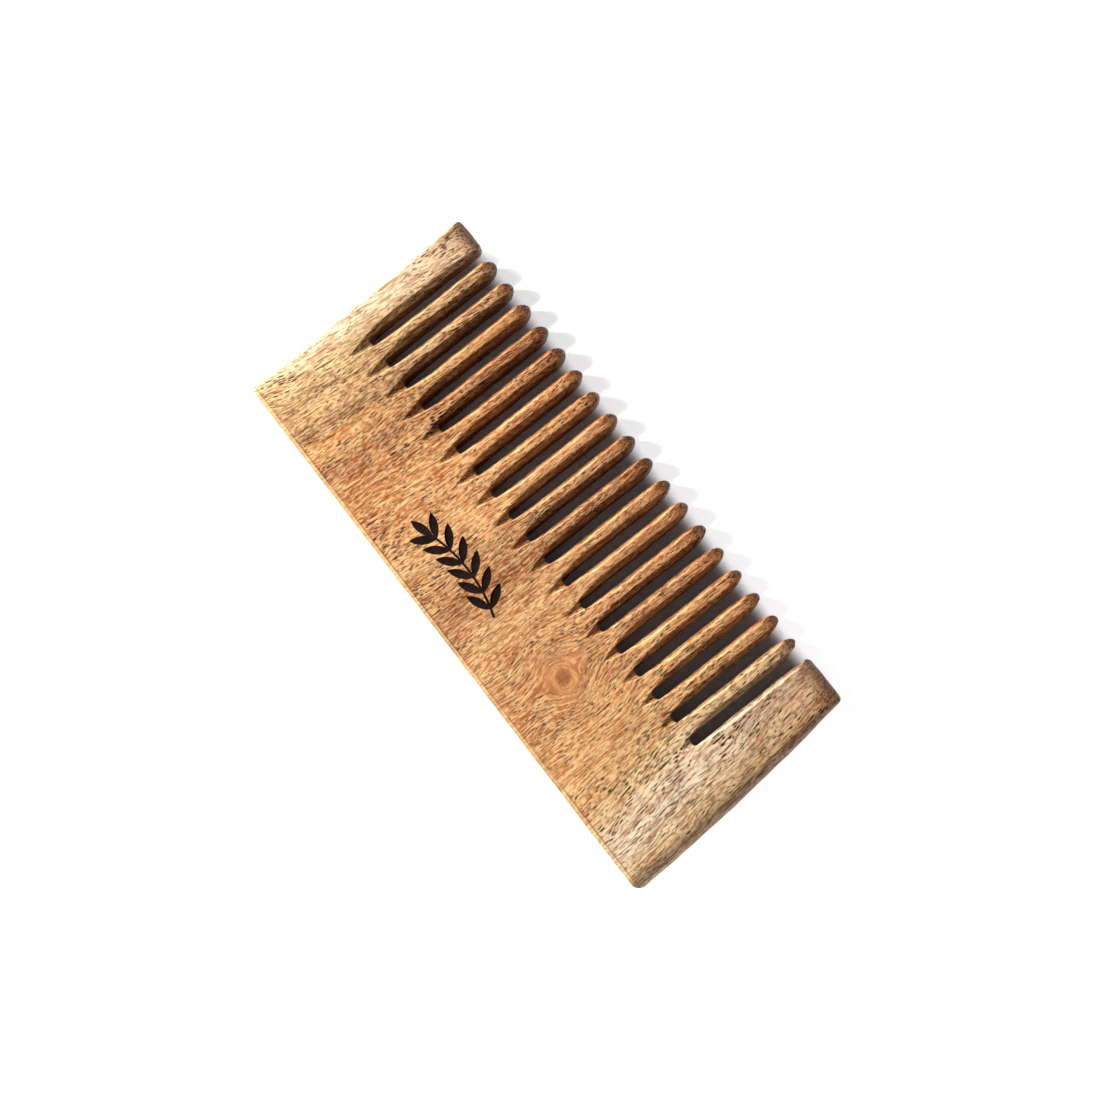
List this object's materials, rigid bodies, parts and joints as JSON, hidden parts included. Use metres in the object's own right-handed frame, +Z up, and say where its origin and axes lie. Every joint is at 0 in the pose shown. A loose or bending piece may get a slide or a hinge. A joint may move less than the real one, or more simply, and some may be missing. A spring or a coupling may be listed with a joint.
{
  "type": "wide tooth comb",
  "caption": "Flat wooden hand comb with a deep plain back, wide sawn and bevelled slots, long blunt teeth, a solid guard at each end and a small burnt leaf sprig.",
  "frame": {"origin": "centre of the comb's box, on the surface that it lies on", "axes": "+X along the comb towards the wide end guard, +Y from the back of the spine to the tooth tips, +Z up through the thickness"},
  "size_m": [0.1828, 0.078, 0.01],
  "materials": {
    "wood": "fine sanded and lightly oiled, with a shallow burnt sprig"
  },
  "bodies": {
    "root": {"spine": "wood", "guard_left": "wood", "guard_right": "wood", "tooth_01": "wood", "tooth_02": "wood", "tooth_03": "wood", "tooth_04": "wood", "tooth_05": "wood", "tooth_06": "wood", "tooth_07": "wood", "tooth_08": "wood", "tooth_09": "wood", "tooth_10": "wood", "tooth_11": "wood", "tooth_12": "wood", "tooth_13": "wood", "tooth_14": "wood", "tooth_15": "wood", "tooth_16": "wood", "tooth_17": "wood", "tooth_18": "wood"}
  },
  "joints": []
}
